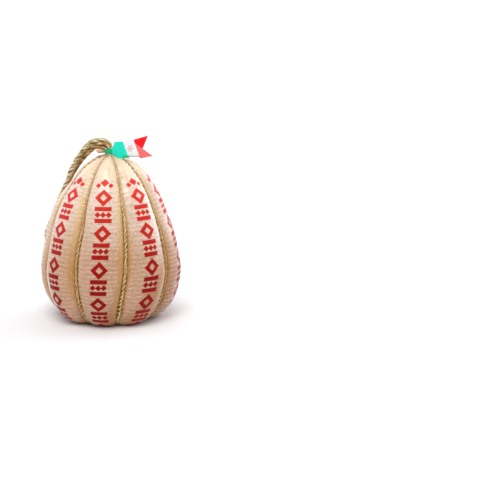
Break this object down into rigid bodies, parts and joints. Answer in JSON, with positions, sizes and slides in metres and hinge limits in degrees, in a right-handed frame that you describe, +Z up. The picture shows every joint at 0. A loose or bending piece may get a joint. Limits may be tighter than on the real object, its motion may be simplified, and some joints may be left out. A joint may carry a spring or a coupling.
{
  "type": "provolone cheese",
  "caption": "Large pear-shaped ribbed provolone in a net of cords, with a rope loop for hanging, the net's cord ends and a small two-tailed pennant at the neck.",
  "frame": {"origin": "on the floor below the middle of the cheese", "axes": "+Z up from the base to the neck, -Y towards the front, where the pennant points to +X"},
  "size_m": [0.3104, 0.3115, 0.4111],
  "materials": {
    "rind": "satin",
    "net_cord": "matte",
    "rope": "matte",
    "card": "satin"
  },
  "bodies": {
    "root": {"cheese": "rind", "net_cord_1": "net_cord", "net_cord_2": "net_cord", "net_cord_3": "net_cord", "net_cord_4": "net_cord", "net_cord_5": "net_cord", "net_cord_6": "net_cord", "net_cord_7": "net_cord", "net_cord_8": "net_cord", "neck_tie": "net_cord", "cord_ends": "net_cord", "base_tie": "net_cord", "hanging_loop": "rope", "pennant": "card"}
  },
  "joints": []
}
